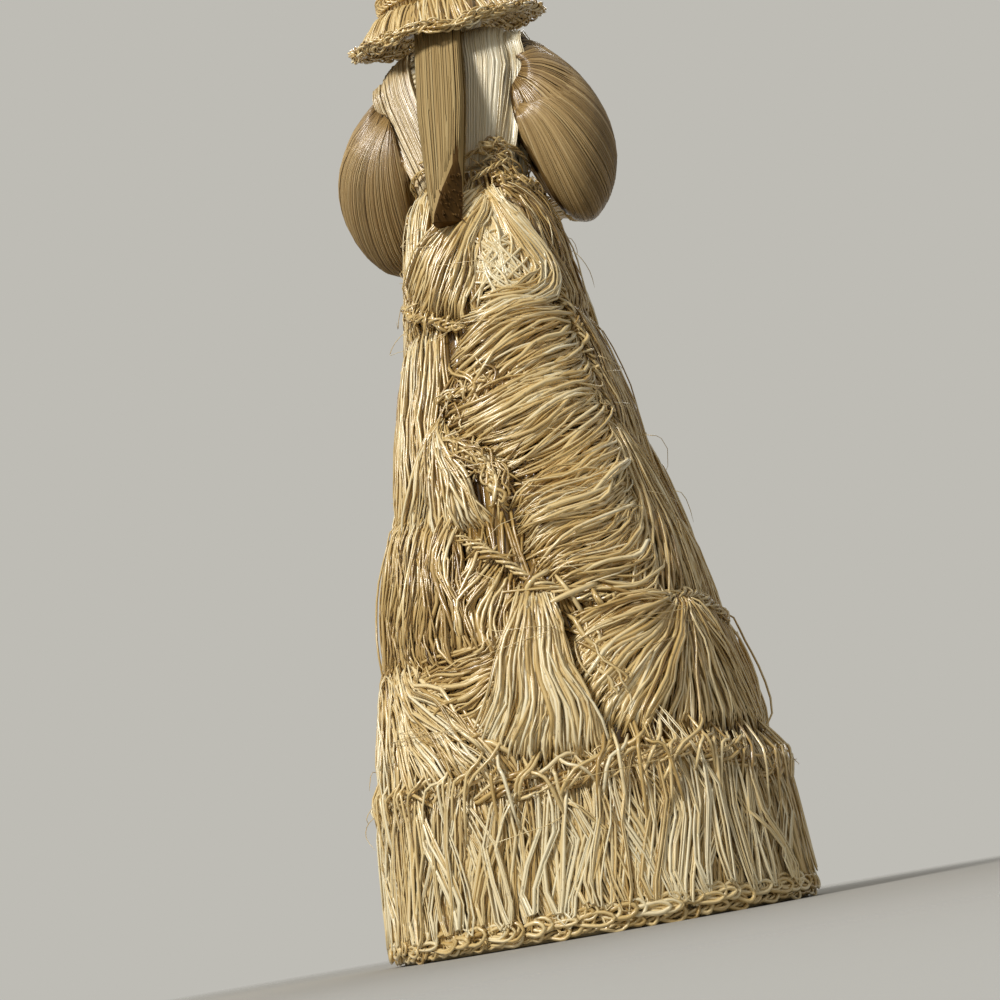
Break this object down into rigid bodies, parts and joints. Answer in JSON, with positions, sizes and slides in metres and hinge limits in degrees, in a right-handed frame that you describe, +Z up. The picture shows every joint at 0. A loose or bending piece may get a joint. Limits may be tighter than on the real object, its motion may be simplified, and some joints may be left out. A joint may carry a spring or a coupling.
{
  "type": "wicker doll",
  "caption": "Standing straw-fibre doll of a lady with a tilted brimmed hat, hanging tail of hair, puffed sleeves and a long hollow cone skirt worked in looped fibre.",
  "frame": {"origin": "on the floor, at the centre of the hem", "axes": "+Z up the doll, -Y the way she faces, +X her left hand side"},
  "size_m": [0.1116, 0.1116, 0.3022],
  "materials": {
    "card": "matte stiff card",
    "wood": "bare",
    "core_cloth": "matte pale cloth",
    "wire": "plain wire",
    "pale_fibre": "satin pale straw fibre",
    "fibre": "satin straw fibre",
    "gold_fibre": "satin golden straw fibre",
    "straw_bark": "matte straw strip"
  },
  "bodies": {
    "figure": {"skirt_form": "card", "waist_plug": "wood", "spine_stick": "wood", "torso_core": "core_cloth", "arm_wire": "wire", "hem_flounce": "pale_fibre", "left_bodice_strap": "pale_fibre", "right_bodice_strap": "pale_fibre", "hem_braid": "fibre", "hem_ridge": "fibre", "fan_tier": "fibre", "swirl_tier": "fibre", "skirt_yoke": "fibre", "waist_cord": "fibre", "waist_knot": "fibre", "neck_wrap": "fibre", "hat_crown": "fibre", "hat_brim": "fibre", "hat_edge_braid": "fibre", "hair_cap": "gold_fibre", "nape_knot": "gold_fibre", "hat_band": "gold_fibre", "head": "straw_bark"},
    "left_arm": {"left_sleeve_puff": "gold_fibre", "left_cuff_tie": "fibre", "left_forearm": "straw_bark", "left_wrist_tie": "fibre", "left_hand": "straw_bark"},
    "right_arm": {"right_sleeve_puff": "gold_fibre", "right_cuff_tie": "fibre", "right_forearm": "straw_bark", "right_wrist_tie": "fibre", "right_hand": "straw_bark"},
    "tail": {"hair_tail": "straw_bark"}
  },
  "joints": [
    {"name": "left_shoulder", "type": "hinge", "parent": "figure", "child": "left_arm", "pos_m": [0.026, -0.0046, 0.2498], "axis": [1, 0, 0], "range_deg": [-20, 10]},
    {"name": "right_shoulder", "type": "hinge", "parent": "figure", "child": "right_arm", "pos_m": [-0.026, -0.0046, 0.2498], "axis": [1, 0, 0], "range_deg": [-20, 10]},
    {"name": "tail_swing", "type": "hinge", "parent": "figure", "child": "tail", "pos_m": [-0.0028, 0.0129, 0.2677], "axis": [1, 0, 0], "range_deg": [0, 6.5]}
  ]
}
